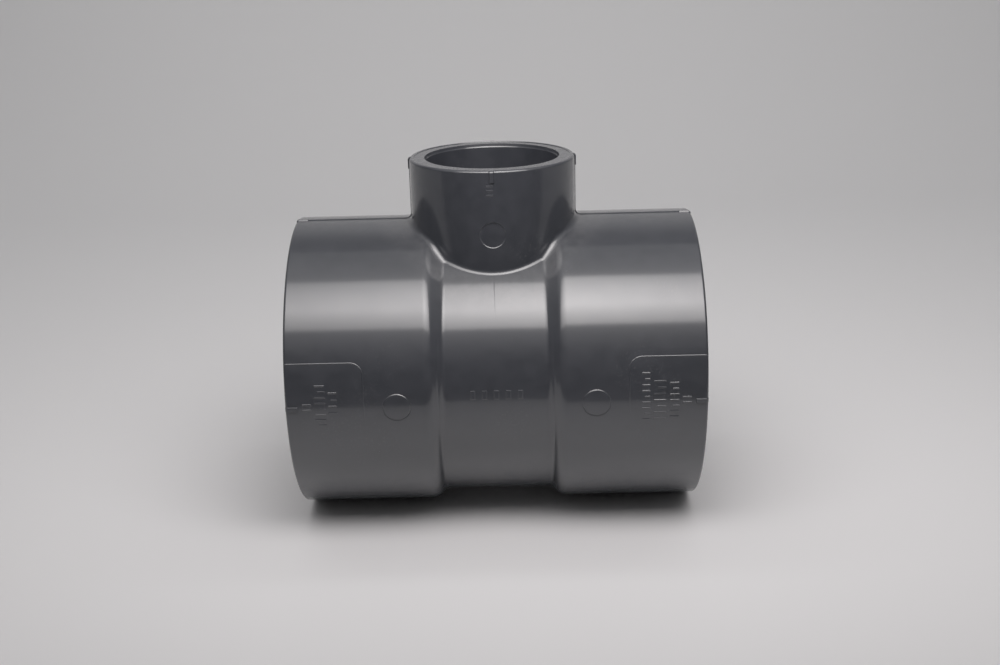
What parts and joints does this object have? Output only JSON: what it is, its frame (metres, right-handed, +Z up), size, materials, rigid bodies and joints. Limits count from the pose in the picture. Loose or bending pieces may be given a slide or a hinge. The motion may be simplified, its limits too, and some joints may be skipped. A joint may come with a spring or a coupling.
{
  "type": "reducing pipe tee fitting",
  "caption": "Grey moulded PVC reducing socket tee: a straight run with a large pipe socket at each end and a smaller socket standing up from its middle.",
  "frame": {"origin": "under the middle of the run, at the undersides of its two lowest alignment ribs", "axes": "+X along the run towards the right socket, +Z up the branch, the side with the moulded marks facing -Y"},
  "size_m": [0.1826, 0.1362, 0.1643],
  "materials": {
    "grey_pvc": "semi-gloss moulded dark grey PVC"
  },
  "bodies": {
    "root": {"run_socket_left": "grey_pvc", "centre_body": "grey_pvc", "run_socket_right": "grey_pvc", "branch_socket": "grey_pvc"}
  },
  "joints": []
}
